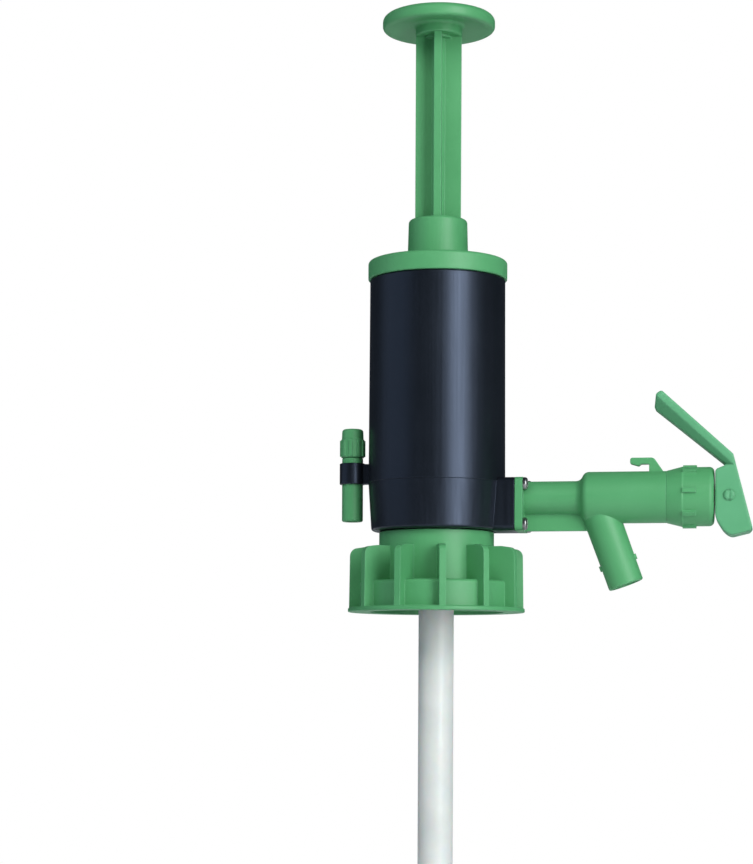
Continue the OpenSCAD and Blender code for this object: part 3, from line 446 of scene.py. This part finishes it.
def floor_material():
    t = Tree("floor")
    cloud = t.noise(scale=3.0, detail=4.0)
    t.set(Base_Color=t.mottle(cloud, FLOOR_DARK, FLOOR_LIGHT))
    t.set(Roughness=0.8, Emission_Color=GLOW_COLOUR)
    # The glow is only seen, and doesn't light the pump from below
    seen = t.add("ShaderNodeLightPath").outputs["Is Camera Ray"]
    away = t.add("ShaderNodeVectorMath", {0: t.place((1.0, 1.0, 0.0))}, operation="LENGTH")
    glow = t.spread(
        away.outputs["Value"], low=GLOW_NEAR, high=GLOW_FAR, from_low=FADE_FROM, from_high=FADE_TO
    )
    t.set(Emission_Strength=t.product(seen, glow))
    return t.material


def make_floor():
    level = cad_low.z - FLOOR_GAP
    points = [(0.0, 0.0, level)]
    faces = []
    for i in range(1, FLOOR_RINGS + 1):
        r = FLOOR_RADIUS * i / FLOOR_RINGS
        for k in range(FLOOR_STEPS):
            a = 2 * math.pi * k / FLOOR_STEPS
            points.append((r * math.cos(a), r * math.sin(a), level))
    for k in range(FLOOR_STEPS):
        faces.append((0, 1 + k, 1 + (k + 1) % FLOOR_STEPS))
    for i in range(FLOOR_RINGS - 1):
        for k in range(FLOOR_STEPS):
            a = 1 + i * FLOOR_STEPS + k
            b = 1 + i * FLOOR_STEPS + (k + 1) % FLOOR_STEPS
            faces.append((a, a + FLOOR_STEPS, b + FLOOR_STEPS, b))
    mesh = bpy.data.meshes.new("floor")
    mesh.from_pydata(points, [], faces)
    floor = bpy.data.objects.new("floor", mesh)
    bpy.context.scene.collection.objects.link(floor)
    mesh.materials.append(floor_material())


make_floor()

# Studio lights, all aimed at the pump's middle
AIM = Vector((0.03, 0.0, 0.10))


def softbox(name, bearing, height, distance, size, power, colour):
    """An area light; bearing is degrees to the camera's right as seen from the pump."""
    data = bpy.data.lights.new(name, "AREA")
    data.shape = "RECTANGLE"
    data.size, data.size_y = size
    data.energy = power
    data.color = colour
    light = bpy.data.objects.new(name, data)
    bpy.context.scene.collection.objects.link(light)
    a = math.radians(bearing)
    level = Vector((RIGHT.x, RIGHT.y, 0.0)).normalized()
    out = -AHEAD * math.cos(a) + level * math.sin(a)
    at = Vector((AIM.x, AIM.y, height)) + out * distance
    light.location = at
    light.rotation_mode = "QUATERNION"
    light.rotation_quaternion = (AIM - at).to_track_quat("-Z", "Y")
    return light


softbox(
    "key",
    bearing=34,
    height=0.37,
    distance=1.25,
    size=(0.60, 1.20),
    power=15.0,
    colour=(0.95, 0.98, 1.0),
)
front = softbox(
    "front",
    bearing=-24,
    height=1.15,
    distance=1.35,
    size=(1.40, 0.80),
    power=12.5,
    colour=(1.0, 0.99, 0.97),
)
softbox(
    "left",
    bearing=-78,
    height=0.60,
    distance=1.60,
    size=(1.80, 1.40),
    power=3.6,
    colour=(0.66, 0.80, 1.0),
)
back = softbox(
    "back",
    bearing=176,
    height=0.90,
    distance=1.60,
    size=(1.80, 1.20),
    power=23.0,
    colour=(0.94, 0.97, 1.0),
)
# The black cylinder mirrors the key and left boxes alone, as in the photograph
for light in (front, back):
    light.visible_glossy = False

ROOM_COLOUR, ROOM_STRENGTH = rgba(0.62, 0.78, 1.0), 0.05
PAPER_COLOUR, PAPER_STRENGTH = rgba(1.0, 1.0, 1.0), 1.0


def make_world():
    """A white background that is only seen, and a dim room that lights the shadows."""
    world = bpy.data.worlds.new("studio")
    bpy.context.scene.world = world
    world.use_nodes = True
    nodes, links = world.node_tree.nodes, world.node_tree.links
    nodes.clear()
    out = nodes.new("ShaderNodeOutputWorld")
    room = nodes.new("ShaderNodeBackground")
    room.inputs["Color"].default_value = ROOM_COLOUR
    room.inputs["Strength"].default_value = ROOM_STRENGTH
    paper = nodes.new("ShaderNodeBackground")
    paper.inputs["Color"].default_value = PAPER_COLOUR
    paper.inputs["Strength"].default_value = PAPER_STRENGTH
    path = nodes.new("ShaderNodeLightPath")
    mix = nodes.new("ShaderNodeMixShader")
    links.new(path.outputs["Is Camera Ray"], mix.inputs["Fac"])
    links.new(room.outputs["Background"], mix.inputs[1])
    links.new(paper.outputs["Background"], mix.inputs[2])
    links.new(mix.outputs["Shader"], out.inputs["Surface"])


make_world()
bpy.context.scene.view_settings.view_transform = "Standard"
bpy.context.scene.view_settings.look = "None"
